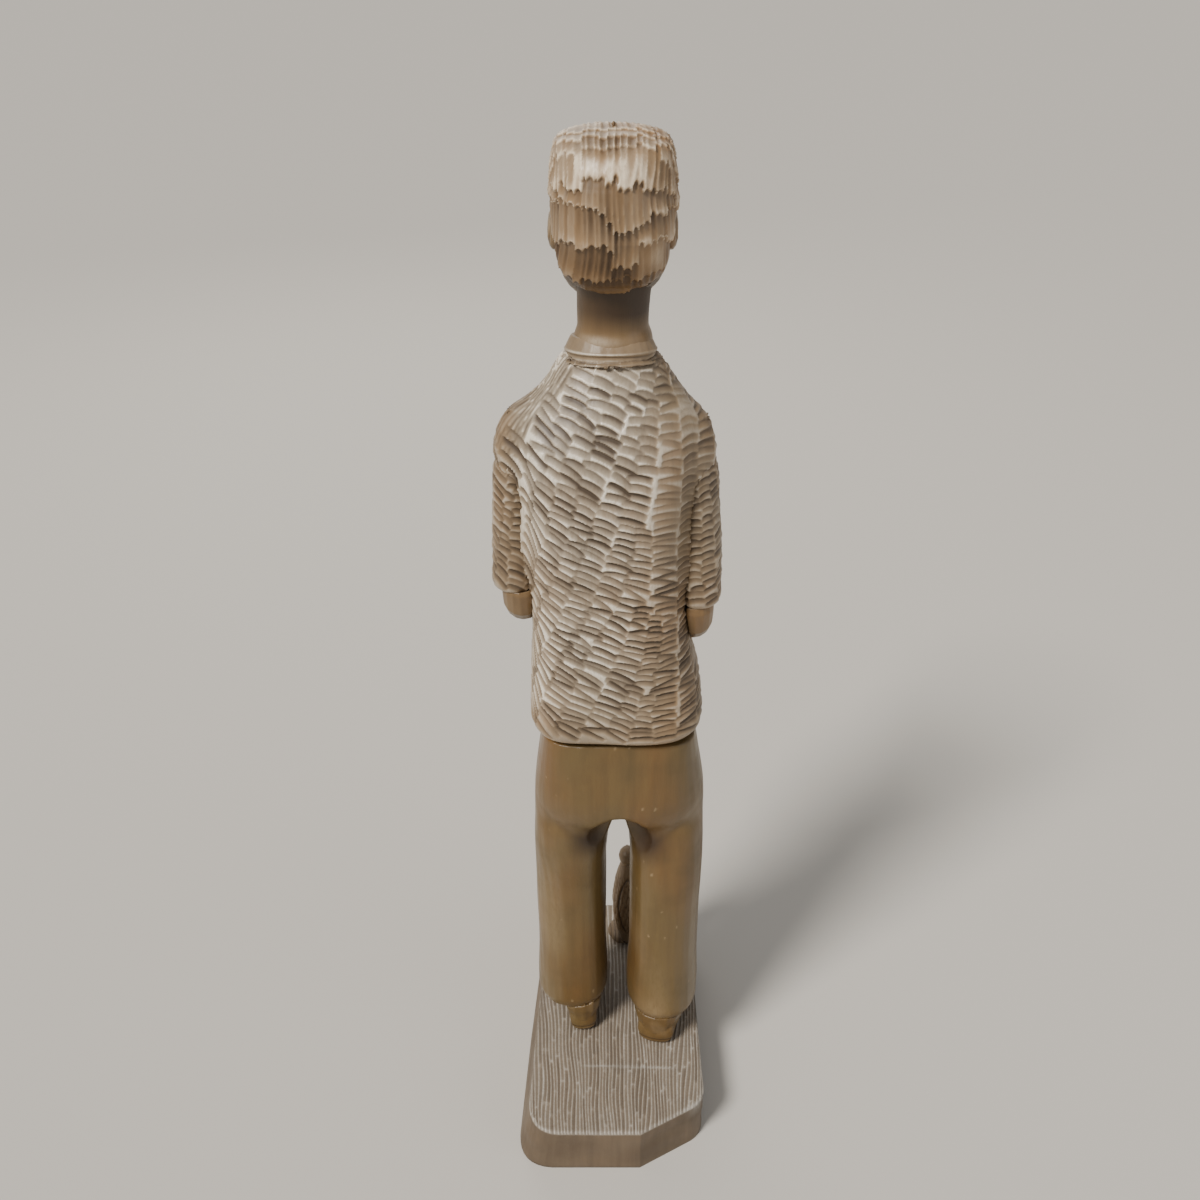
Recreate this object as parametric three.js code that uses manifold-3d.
// Carved wooden figurine: a figure standing on a block, with a small bird at its feet.
// Millimetres, +Z up. The origin is the centre of the underside of the base, and the figure faces
// -Y, so +X is its left. Each carved part is its own closed solid, with a thin gap to the next.

import * as THREE from "three";
import { mergeVertices } from "three/addons/utils/BufferGeometryUtils.js";
import Module from "manifold-3d";

const wasm = await Module();
wasm.setup();

// ---------------------------------------------------------------- driving sizes

const BASE_TOP = 27;          // thickness of the block underfoot
const CUFF_Z = 40;            // lowest point of the trouser cuffs
const CROTCH_Z = 166;         // where the legs meet
const HEM_Z = 218;            // bottom edge of the pullover
const NECK_Z = 380;           // where the shoulders reach the collar
const CHIN_Z = 395;
const HEIGHT = 457;           // top of the hair

const BODY_X = 1;             // how far the head and shoulders stand to the left
const LEFT_LEG_X = 18.5;
const RIGHT_LEG_X = -25.6;
const CROTCH_X = (LEFT_LEG_X + RIGHT_LEG_X) / 2;
const LEFT_HEEL_Y = 16;       // back of each heel
const RIGHT_HEEL_Y = 23.5;

const GAP = 0.3;              // clearance between neighbouring pieces
const SLICES = 24;            // sides round an ordinary section
const FINE_SLICES = 32;       // sides round the large forms

// ---------------------------------------------------------------- helpers: curves

/** A smooth function through a few [position, value] stations, with no overshoot between them. */
function through(...stations) {
  const last = stations.length - 1;
  const rise = stations.slice(1).map(([at, value], i) =>
    (value - stations[i][1]) / (at - stations[i][0]));
  const slope = stations.map((_, i) => {
    if (i === 0 || i === last) return rise[Math.min(i, last - 1)];
    const [before, after] = [rise[i - 1], rise[i]];
    return before * after <= 0 ? 0 : (2 * before * after) / (before + after);
  });
  return (position) => {
    const p = THREE.MathUtils.clamp(position, stations[0][0], stations[last][0]);
    const i = Math.min(Math.max(stations.findIndex(([at]) => at >= p) - 1, 0), last - 1);
    const width = stations[i + 1][0] - stations[i][0];
    const t = (p - stations[i][0]) / width;
    const start = (1 + 2 * t) * (1 - t) ** 2 * stations[i][1] + t * (1 - t) ** 2 * width * slope[i];
    const end = t * t * (3 - 2 * t) * stations[i + 1][1] + t * t * (t - 1) * width * slope[i + 1];
    return start + end;
  };
}

/** A value that is the same all along. */
const always = (value) => () => value;

/** |value| to a power with the sign of value, and exactly 0 where value is only a rounding error. */
function signedPower(value, power) {
  const size = Math.abs(value);
  return size < 1e-9 ? 0 : Math.sign(value) * size ** power;
}

/** Positions along a body with the end roundings followed closely, each with its share of full size. */
function levels(from, to, roundFrom, roundTo, count) {
  const STEPS = 4;
  const TIP = 0.2;            // the flat left at a rounded tip, as a share of the full section
  const dome = (start, radius, sign) =>
    Array.from({ length: STEPS }, (_, i) => {
      const share = THREE.MathUtils.lerp(TIP, 1, Math.sin((i / STEPS) * (Math.PI / 2)));
      return [start + sign * radius * (1 - Math.sqrt(1 - share * share)), share];
    });
  const low = roundFrom > 0 ? dome(from, roundFrom, 1) : [];
  const high = roundTo > 0 ? dome(to, roundTo, -1).reverse() : [];
  const middle = Array.from({ length: count + 1 }, (_, i) => [
    THREE.MathUtils.lerp(from + roundFrom, to - roundTo, i / count), 1,
  ]);
  return [...low, ...middle, ...high];
}

// ---------------------------------------------------------------- helpers: solids

/** A three.js geometry as a manifold-3d solid. */
function solid(geometry) {
  const bare = geometry.index ? geometry : geometry.clone();
  bare.deleteAttribute("normal");
  bare.deleteAttribute("uv");
  const merged = mergeVertices(bare, 1e-4);
  const mesh = new wasm.Mesh({
    numProp: 3,
    vertProperties: new Float32Array(merged.attributes.position.array),
    triVerts: new Uint32Array(merged.index.array),
  });
  return new wasm.Manifold(mesh);
}

const join = (first, ...others) => others.reduce((body, other) => body.add(other), first);
const cut = (body, ...cutters) => cutters.reduce((left, cutter) => left.subtract(cutter), body);

/**
 * A closed body that grows along one line. rings lists [position, share of full size] pairs, and
 * place(position, share, x, y) puts a point of the unit circle where the section has it.
 */
function skinned(rings, slices, place) {
  const geometry = new THREE.CylinderGeometry(1, 1, 1, slices, rings.length - 1);
  geometry.rotateX(Math.PI / 2);
  const vertices = geometry.attributes.position;
  const point = new THREE.Vector3();
  for (let i = 0; i < vertices.count; i++) {
    const ring = Math.round((vertices.getZ(i) + 0.5) * (rings.length - 1));
    const [position, share] = rings[ring];
    place(position, share, vertices.getX(i), vertices.getY(i), point);
    vertices.setXYZ(i, point.x, point.y, point.z);
  }
  return solid(geometry);
}

/**
 * An upright form of level sections between two heights. Each section reaches halfWidth to both sides
 * of x, back to +Y and front to -Y; square is 2 for an ellipse and more for a boxier outline.
 */
function upright(form, grow = 0) {
  const { from, to, roundFrom = 0, roundTo = 0, count = 8, slices = SLICES } = form;
  const rings = levels(from - grow, to + grow, roundFrom, roundTo, count);
  return skinned(rings, slices, (z, share, unitX, unitY, point) => {
    const power = 2 / form.square(z);
    const depth = unitY > 0 ? form.back(z) : -form.front(z);
    const middle = (form.back(z) + form.front(z)) / 2;
    const centreY = form.centred ? middle : 0;
    const half = form.centred ? (form.back(z) - form.front(z)) / 2 : depth;
    const x = form.x(z) + share * (form.halfWidth(z) + grow) * signedPower(unitX, power);
    const y = centreY + share * (half + grow) * signedPower(unitY, power);
    point.set(x, y, z);
  });
}

/** A limb along a curve: wide across the side direction, deep across the other, with round ends. */
function limb({ path, side, wide, deep, roundFrom = 0, roundTo = 0, count = 8, slices = 20 }, grow = 0) {
  const curve = new THREE.CatmullRomCurve3(path.map((p) => new THREE.Vector3(...p)));
  const length = curve.getLength();
  const rings = levels(0, 1, roundFrom / length, roundTo / length, count);
  const sideways = new THREE.Vector3(...side);
  return skinned(rings, slices, (t, share, unitX, unitY, point) => {
    const along = curve.getTangentAt(t);
    const deepways = new THREE.Vector3().crossVectors(along, sideways).normalize();
    const wideways = new THREE.Vector3().crossVectors(deepways, along).normalize();
    point.copy(curve.getPointAt(t));
    point.addScaledVector(wideways, share * (wide(t) + grow) * unitX);
    point.addScaledVector(deepways, share * (deep(t) + grow) * unitY);
  });
}

/** A ball stretched to three radii, turned, and moved to its centre. */
function ball(radii, centre, turn = [0, 0, 0], slices = 20) {
  const geometry = new THREE.SphereGeometry(1, slices, Math.round(slices * 0.6));
  geometry.scale(...radii);
  const placed = new THREE.Matrix4().makeRotationFromEuler(new THREE.Euler(...turn));
  geometry.applyMatrix4(placed.setPosition(...centre));
  return solid(geometry);
}

/** A plate with the outline of a side view (points of [y, z]), as wide as the whole figure. */
function sideCut(points) {
  const WIDTH = 120;
  const outline = new THREE.Shape(points.map(([y, z]) => new THREE.Vector2(y, z)));
  const geometry = new THREE.ExtrudeGeometry(outline, { depth: WIDTH, bevelEnabled: false });
  geometry.translate(0, 0, -WIDTH / 2);
  const axes = new THREE.Matrix4().makeBasis(
    new THREE.Vector3(0, 1, 0), new THREE.Vector3(0, 0, 1), new THREE.Vector3(1, 0, 0));
  return solid(geometry.applyMatrix4(axes));
}

// ---------------------------------------------------------------- base

/** The block: a long rounded rectangle with one corner cut off, its left side sloping outwards. */
function baseBlock() {
  const outline = new THREE.Shape();
  outline.moveTo(-14, 72);
  outline.lineTo(28, 72);
  outline.quadraticCurveTo(44, 71, 44, 54);
  outline.lineTo(41.5, 0);
  outline.lineTo(38, -56);
  outline.quadraticCurveTo(37, -72, 22, -72);
  outline.lineTo(-28, -72);
  outline.quadraticCurveTo(-43, -72, -44, -57);
  outline.lineTo(-45, 47);
  outline.quadraticCurveTo(-45, 54, -39, 58);
  outline.closePath();
  const geometry = new THREE.ExtrudeGeometry(outline, {
    depth: BASE_TOP, steps: 2, bevelEnabled: false, curveSegments: 8,
  });
  const SLOPE = 0.12;         // how far the top is drawn in on the left, as a share of its place
  const vertices = geometry.attributes.position;
  for (let i = 0; i < vertices.count; i++) {
    const x = vertices.getX(i);
    const height = vertices.getZ(i) / BASE_TOP;
    vertices.setX(i, x > 0 ? x * (1 - SLOPE * height) : x);
  }
  return solid(geometry);
}

// ---------------------------------------------------------------- trousers and shoes

/** One trouser leg, straight and full, with a rounded cuff; toMiddle is +1 where the gap is to +X. */
function legForm(x, heelY, toMiddle) {
  const lean = through([CUFF_Z, 0], [138, 0], [154, 1.4], [CROTCH_Z, 5.2]);
  const ordinary = through([CUFF_Z, 15.8], [54, 17], [80, 16.5], [110, 16.4], [142, 16.6], [CROTCH_Z, 16]);
  return {
    from: CUFF_Z, to: CROTCH_Z - GAP / 2, roundFrom: 11, count: 9, slices: 26,
    x: (z) => x + toMiddle * lean(z) / 2,
    halfWidth: (z) => ordinary(z) + lean(z) / 2,
    back: through([CUFF_Z, heelY + 1.5], [60, heelY + 1.5], [115, heelY - 0.5], [CROTCH_Z, 22]),
    front: through([CUFF_Z, -19], [70, -19.5], [110, -19], [CROTCH_Z, -22]),
    centred: true,
    square: through([CUFF_Z, 2.3], [130, 2.3], [CROTCH_Z, 2.6]),
  };
}

const LEFT_LEG = legForm(LEFT_LEG_X, LEFT_HEEL_Y, -1);
const RIGHT_LEG = legForm(RIGHT_LEG_X, RIGHT_HEEL_Y, 1);

/** The hips and seat, from the tops of the legs up to the pullover. */
const SEAT = {
  from: CROTCH_Z + GAP / 2, to: HEM_Z - GAP, count: 7, slices: FINE_SLICES,
  x: through([CROTCH_Z, -3.5], [HEM_Z, -3]),
  halfWidth: through([CROTCH_Z, 38.2], [178, 37.6], [195, 35.6], [210, 33.4], [HEM_Z, 32.4]),
  back: through([CROTCH_Z, 22], [176, 25.5], [192, 27], [206, 26.4], [HEM_Z, 25.4]),
  front: through([CROTCH_Z, -22], [185, -23.5], [HEM_Z, -22]),
  square: through([CROTCH_Z, 2.6], [190, 3], [HEM_Z, 4.6]),
};

/** The hollow that is carved in under the seat where the legs part. */
const crotchHollow = () => ball([16, 20, 20], [CROTCH_X, 31, CROTCH_Z - 6], [0, 0, 0], 24);

/** One shoe: a heel that rises into the cuff and a long rounded upper. heel is half the heel's width. */
function shoe(x, heelY, toeTurn, heel, leg) {
  const LENGTH = 64;
  const SOLE = BASE_TOP + GAP;
  const halfWidth = through(
    [0, heel], [8, heel + 1.6], [20, heel + 1.8], [34, 10], [48, 10.6], [58, 9], [LENGTH, 6.5]);
  const height = through([0, 13], [14, 20], [26, 20], [40, 13], [54, 9.8], [LENGTH, 7.5]);
  const rings = levels(0, LENGTH, 3, 7, 7);
  const foot = skinned(rings, 16, (along, share, unitX, unitY, point) => {
    const rise = (height(along) / 2) * (1 + share * signedPower(unitY, 0.7));
    const x = share * halfWidth(along) * signedPower(unitX, 0.85);
    point.set(x, -along, SOLE + Math.max(rise - 0.6, 0));
  });
  const ankle = upright({
    from: SOLE + 5, to: CUFF_Z + 14, roundFrom: 4, count: 3, slices: 14,
    x: always(0), halfWidth: through([SOLE, heel], [38, heel + 2.4], [46, heel + 3.6]),
    back: always(0.2), front: through([SOLE, -20], [48, -26]), centred: true, square: always(2.2),
  });
  const turned = join(foot, ankle).rotate([0, 0, toeTurn]).translate([x, heelY, 0]);
  return cut(turned, upright(leg, GAP));
}

// ---------------------------------------------------------------- pullover

const SWEATER = {
  from: HEM_Z, to: NECK_Z, roundFrom: 4, count: 15, slices: 36,
  x: through([HEM_Z, -2.6], [240, -1.4], [262, 0], [300, 2.2], [335, 2.4], [NECK_Z, BODY_X]),
  halfWidth: through(
    [HEM_Z, 33.4], [225, 35.8], [240, 34.8], [262, 32], [290, 31.2], [325, 31.8], [346, 33],
    [356, 32.6], [363, 29.5], [370, 22.5], [376, 18.6], [NECK_Z, 17]),
  back: through(
    [HEM_Z, 28], [226, 29.5], [262, 27.6], [300, 28], [330, 29.5], [352, 27], [366, 20], [NECK_Z, 14.5]),
  front: through(
    [HEM_Z, -25], [235, -27.5], [270, -26], [330, -26], [352, -22], [366, -16], [NECK_Z, -12]),
  square: through([HEM_Z, 5.5], [240, 3.8], [262, 3], [340, 2.8], [366, 2.3], [NECK_Z, 2.1]),
};

/** One sleeve, hanging from the shoulder to the elbow. */
function sleeveForm(side, shoulderX, elbowX, endZ) {
  return {
    path: [
      [side * (shoulderX - 10), 0, 353.5], [side * (shoulderX - 4), 0.5, 351.5],
      [side * (shoulderX - 1), 1, 340], [side * shoulderX, 1.5, 325],
      [side * (shoulderX + elbowX) / 2, 3, 303], [side * elbowX, 6, endZ],
    ],
    side: [side, 0, 0], roundTo: 2.5, count: 11, slices: 20,
    wide: through([0, 9.4], [0.25, 9.2], [0.6, 9.2], [1, 9]),
    deep: through([0, 11], [0.3, 12], [0.7, 11.5], [1, 11]),
  };
}

const LEFT_SLEEVE = sleeveForm(1, 37.4, 38.4, 284);
const RIGHT_SLEEVE = sleeveForm(-1, 31.6, 34.6, 277);

/** The low stand-up collar: two rolled ridges round the neck, a little higher behind than in front. */
function collar(neckForm) {
  const TILT = -9;            // degrees, lifting the back
  const ridge = through(
    [-5.8, 17.6], [-5, 17.4], [-3.6, 16.2], [-2.2, 16.9], [-0.4, 16.3], [1.4, 15.4], [3.4, 14.3]);
  const band = upright({
    from: -5.8, to: 3.4, count: 9, slices: 28,
    x: always(0), halfWidth: ridge, back: (h) => ridge(h) - 2, front: (h) => 1 - ridge(h),
    square: always(2.1),
  });
  const placed = band.rotate([-TILT, 0, 0]).translate([BODY_X, 0.5, NECK_Z + 3]);
  return cut(placed, upright(SWEATER, GAP), upright(neckForm, GAP));
}

// ---------------------------------------------------------------- arms and hands

/** A bare forearm: down out of the sleeve, forward at the elbow and round to the wrist. */
function forearmForm(side, elbowX, elbowZ, wrist) {
  return {
    path: [
      [side * elbowX, 6.5, elbowZ + 15], [side * elbowX, 6.5, elbowZ + 6],
      [side * (elbowX - 0.5), -1, elbowZ - 1], [side * (elbowX - 3.5), -16, elbowZ - 5],
      [side * (elbowX - 10), -29, elbowZ - 10], wrist,
    ],
    side: [side, 0, 0], count: 12, slices: 16,
    wide: through([0, 7.8], [0.4, 7.8], [0.75, 6.2], [1, 5]),
    deep: through([0, 8.6], [0.4, 8.2], [0.75, 6.6], [1, 5.6]),
  };
}

/**
 * One hand laid flat, palm towards the body. It points to reach (+1 for +X), and the fingers curl
 * back round the waist by bend.
 */
function hand(reach, wrist) {
  const PALM = 19;
  const palmX = wrist[0] + reach * PALM * 0.5;
  const palm = ball([PALM * 0.62, 4.2, 9.6], [palmX, wrist[1], wrist[2]], [0, 0, 0], 16);
  const fingers = [-1.5, -0.5, 0.5, 1.5].map((place) => {
    const knuckleX = wrist[0] + reach * PALM * 0.82;
    const z = wrist[2] + place * 4.3;
    const length = 17.5 - 1.3 * (place - 0.3) ** 2;
    return limb({
      path: [
        [knuckleX, wrist[1], z], [knuckleX + reach * length * 0.5, wrist[1] - 0.4, z - 0.6],
        [knuckleX + reach * length, wrist[1] + 1.4, z - 1.6],
      ],
      side: [0, 0, 1], wide: through([0, 2.25], [1, 1.9]), deep: through([0, 2.6], [1, 2.1]),
      roundTo: 2, count: 3, slices: 8,
    });
  });
  const thumb = limb({
    path: [
      [wrist[0] + reach * 3, wrist[1], wrist[2] + 5],
      [wrist[0] + reach * 11, wrist[1] - 0.6, wrist[2] + 11],
      [wrist[0] + reach * 19, wrist[1] + 0.4, wrist[2] + 12.6],
    ],
    side: [0, 0, 1], wide: through([0, 3.2], [1, 2.2]), deep: through([0, 3], [1, 2.1]),
    roundTo: 2, count: 3, slices: 8,
  });
  return join(palm, ...fingers, thumb);
}

// ---------------------------------------------------------------- neck, head, hair and ears

const NECK = {
  from: NECK_Z - 4, to: 412, count: 6,
  x: always(BODY_X - 0.7),
  halfWidth: through([NECK_Z - 4, 14], [384, 13.4], [391, 12.6], [400, 13], [412, 14]),
  back: through([NECK_Z - 4, 13.5], [392, 12], [412, 12.5]),
  front: through([NECK_Z - 4, -13], [392, -13.5], [412, -14.5]),
  square: always(2.1),
};

/** The head without its hair: a jaw that runs up into a long skull. */
const HEAD = {
  from: CHIN_Z, to: HEIGHT - 2, roundFrom: 4, roundTo: 5, count: 10, slices: 28,
  x: always(BODY_X - 0.4),
  halfWidth: through(
    [CHIN_Z, 10.5], [400, 14], [407, 17.6], [415, 19.9], [430, 20], [442, 19.6], [449, 18.4], [HEIGHT, 16.4]),
  back: through(
    [CHIN_Z, -6], [400, 4], [406, 13], [414, 19.5], [426, 25], [438, 26.4], [448, 24], [HEIGHT, 18]),
  front: through(
    [CHIN_Z, -25], [402, -26.5], [416, -26], [432, -27], [442, -26], [450, -22.5], [HEIGHT, -16]),
  centred: true,
  square: through([CHIN_Z, 2.1], [415, 2.3], [HEIGHT, 2.4]),
};

/** The nose and the brow that carry the face, plain and even. */
function features() {
  const middle = BODY_X - 0.4;
  const nose = limb({
    path: [[middle, -25.6, 428], [middle, -28.4, 420], [middle, -29.6, 414.5]],
    side: [1, 0, 0], wide: through([0, 1.8], [0.6, 2.6], [1, 3.9]), deep: through([0, 2], [1, 2.8]),
    roundTo: 1.6, count: 4, slices: 12,
  });
  const brow = ball([14, 3.2, 2.2], [middle, -24.6, 430.6], [0.1, 0, 0], 14);
  const lips = ball([6, 2.2, 2], [middle, -26, 405.6], [0, 0, 0], 12);
  const chin = ball([6.5, 3.6, 4], [middle, -24, 398.8], [0, 0, 0], 12);
  return [nose, brow, lips, chin];
}

/** Everything that the hair covers, from the side: above the forehead, round the ears, to the nape. */
function hairRegion() {
  const EDGE = [
    [-40, 442.5], [-20, 442], [-14, 437], [-11, 430], [-8, 427], [-3.5, 428], [0, 431], [4, 432], [8, 429],
    [10, 419], [11, 409], [13.5, 404], [18, 402], [40, 401],
  ];
  return sideCut([...EDGE, [40, 470], [-40, 470]]);
}

function hair(neckForm) {
  const HAIR_THICKNESS = 1.9;
  const mass = upright(HEAD, HAIR_THICKNESS);
  return cut(mass.intersect(hairRegion()), upright(neckForm, GAP), ear(1, GAP), ear(-1, GAP));
}

function head(neckForm) {
  const hairWithGap = [-GAP, GAP].map((shift) => hairRegion().translate([0, shift, -GAP]));
  const skull = cut(upright(HEAD), ...hairWithGap, upright(neckForm, GAP));
  return cut(join(skull, ...features()), ear(1, GAP), ear(-1, GAP));
}

/** An ear close against the head, a tilted disc with a hollow in it. */
function ear(side, grow = 0) {
  const x = BODY_X - 0.4 + side * 20;
  const disc = ball([2.2 + grow, 4.9 + grow, 6.6 + grow], [x, 1.5, 424], [0.2, 0, side * 0.16], 14);
  if (grow > 0) return disc;
  const hollow = ball([1, 2.6, 3.8], [x + side * 2.1, 0.8, 424.6], [0.2, 0, side * 0.16], 12);
  return cut(disc, hollow);
}

// ---------------------------------------------------------------- the bird

const BIRD_X = -9.5;
const BIRD_Y = -45;

/** The low mound that the bird stands on. */
const PERCH = {
  from: BASE_TOP + GAP, to: BASE_TOP + 7, roundTo: 6, count: 2,
  x: always(BIRD_X + 1), halfWidth: always(9), back: always(BIRD_Y + 3), front: always(BIRD_Y - 15),
  centred: true, square: always(2.2),
};

/** A small upright bird with folded wings, a round head and a short beak. */
function bird() {
  const body = limb({
    path: [
      [BIRD_X, BIRD_Y + 3.5, BASE_TOP + 3], [BIRD_X, BIRD_Y + 0.5, BASE_TOP + 18],
      [BIRD_X, BIRD_Y - 3.5, BASE_TOP + 34], [BIRD_X, BIRD_Y - 3, BASE_TOP + 57],
    ],
    side: [1, 0, 0], roundFrom: 3, roundTo: 3, count: 8, slices: 16,
    wide: through([0, 2.6], [0.25, 6.6], [0.5, 8], [0.75, 6.6], [1, 3.4]),
    deep: through([0, 2.2], [0.25, 6.5], [0.5, 9], [0.75, 7], [1, 3.6]),
  });
  const skull = ball([4.8, 5.4, 5.2], [BIRD_X, BIRD_Y - 4, BASE_TOP + 59], [0, 0, 0], 14);
  const beak = limb({
    path: [
      [BIRD_X, BIRD_Y - 7, BASE_TOP + 59], [BIRD_X, BIRD_Y - 11, BASE_TOP + 58],
      [BIRD_X, BIRD_Y - 14, BASE_TOP + 56.4],
    ],
    side: [1, 0, 0], wide: through([0, 2.1], [1, 0.9]), deep: through([0, 1.9], [1, 0.8]),
    roundFrom: 1, roundTo: 0.8, count: 2, slices: 8,
  });
  const legs = [-1, 1].map((side) => limb({
    path: [
      [BIRD_X + side * 3, BIRD_Y - 5, BASE_TOP + 5], [BIRD_X + side * 3, BIRD_Y - 5, BASE_TOP + 11],
      [BIRD_X + side * 3, BIRD_Y - 3.5, BASE_TOP + 18],
    ],
    side: [1, 0, 0], wide: always(1.7), deep: always(2.2), count: 2, slices: 8,
  }));
  return cut(join(body, skull, beak, ...legs), upright(PERCH, GAP));
}

// ---------------------------------------------------------------- the assembly

const figurine = new THREE.Group();

/** Adds one solid as a named mesh in its own waxed wood. */
function add(name, body, colour, roughness) {
  const { numProp, vertProperties, triVerts } = body.getMesh();
  const geometry = new THREE.BufferGeometry();
  const positions = new THREE.InterleavedBufferAttribute(
    new THREE.InterleavedBuffer(vertProperties, numProp), 3, 0);
  geometry.setAttribute("position", positions);
  geometry.setIndex(new THREE.BufferAttribute(triVerts, 1));
  geometry.computeVertexNormals();
  const material = new THREE.MeshStandardMaterial({ color: colour, roughness, metalness: 0 });
  const mesh = new THREE.Mesh(geometry, material);
  mesh.name = name;
  figurine.add(mesh);
}

const WOOD = { block: 0x8a7862, trousers: 0x7a6040, knit: 0x8d7b66, skin: 0x80684a, hair: 0x86694a };

const leftShoe = shoe(LEFT_LEG_X - 5.6, LEFT_HEEL_Y, 6, 6, LEFT_LEG);
const rightShoe = shoe(RIGHT_LEG_X + 3.6, RIGHT_HEEL_Y, -12, 8.4, RIGHT_LEG);
const torso = upright(SWEATER);
const torsoClearance = upright(SWEATER, GAP);

add("base_block", baseBlock(), WOOD.block, 0.6);
add("left_shoe", leftShoe, WOOD.trousers, 0.5);
add("right_shoe", rightShoe, WOOD.trousers, 0.5);
add("left_trouser_leg", cut(upright(LEFT_LEG), crotchHollow()), WOOD.trousers, 0.4);
add("right_trouser_leg", cut(upright(RIGHT_LEG), upright(LEFT_LEG, GAP), crotchHollow()), WOOD.trousers, 0.4);
add("trouser_seat", cut(upright(SEAT), crotchHollow()), WOOD.trousers, 0.4);
add("sweater_body", torso, WOOD.knit, 0.5);
add("sweater_collar", collar(NECK), WOOD.knit, 0.5);

const LEFT_WRIST = [16.5, -32.8, 253];
const RIGHT_WRIST = [-17.5, -41, 250];
const sleeves = [LEFT_SLEEVE, RIGHT_SLEEVE];
const arms = [forearmForm(1, 36.4, 275, LEFT_WRIST), forearmForm(-1, 33.2, 266, RIGHT_WRIST)];
const sleeveClearances = sleeves.map((form) => limb(form, GAP));
const armClearances = arms.map((form) => limb(form, GAP));

["left", "right"].forEach((side, i) => {
  add(`${side}_sleeve`, cut(limb(sleeves[i]), torsoClearance), WOOD.knit, 0.5);
  add(`${side}_forearm`, cut(limb(arms[i]), torsoClearance, sleeveClearances[i]), WOOD.skin, 0.45);
});
add("left_hand", cut(hand(-1, [14.5, -31.8, 252]), torsoClearance, ...armClearances), WOOD.skin, 0.45);
add("right_hand", cut(hand(1, [-15, -40.8, 249]), ...armClearances), WOOD.skin, 0.45);

add("neck", cut(upright(NECK), torsoClearance), WOOD.skin, 0.45);
add("head", head(NECK), WOOD.skin, 0.45);
add("hair", hair(NECK), WOOD.hair, 0.45);
add("left_ear", ear(1), WOOD.skin, 0.45);
add("right_ear", ear(-1), WOOD.skin, 0.45);

add("bird_perch", upright(PERCH), WOOD.block, 0.6);
add("bird", bird(), WOOD.hair, 0.5);

export default figurine;
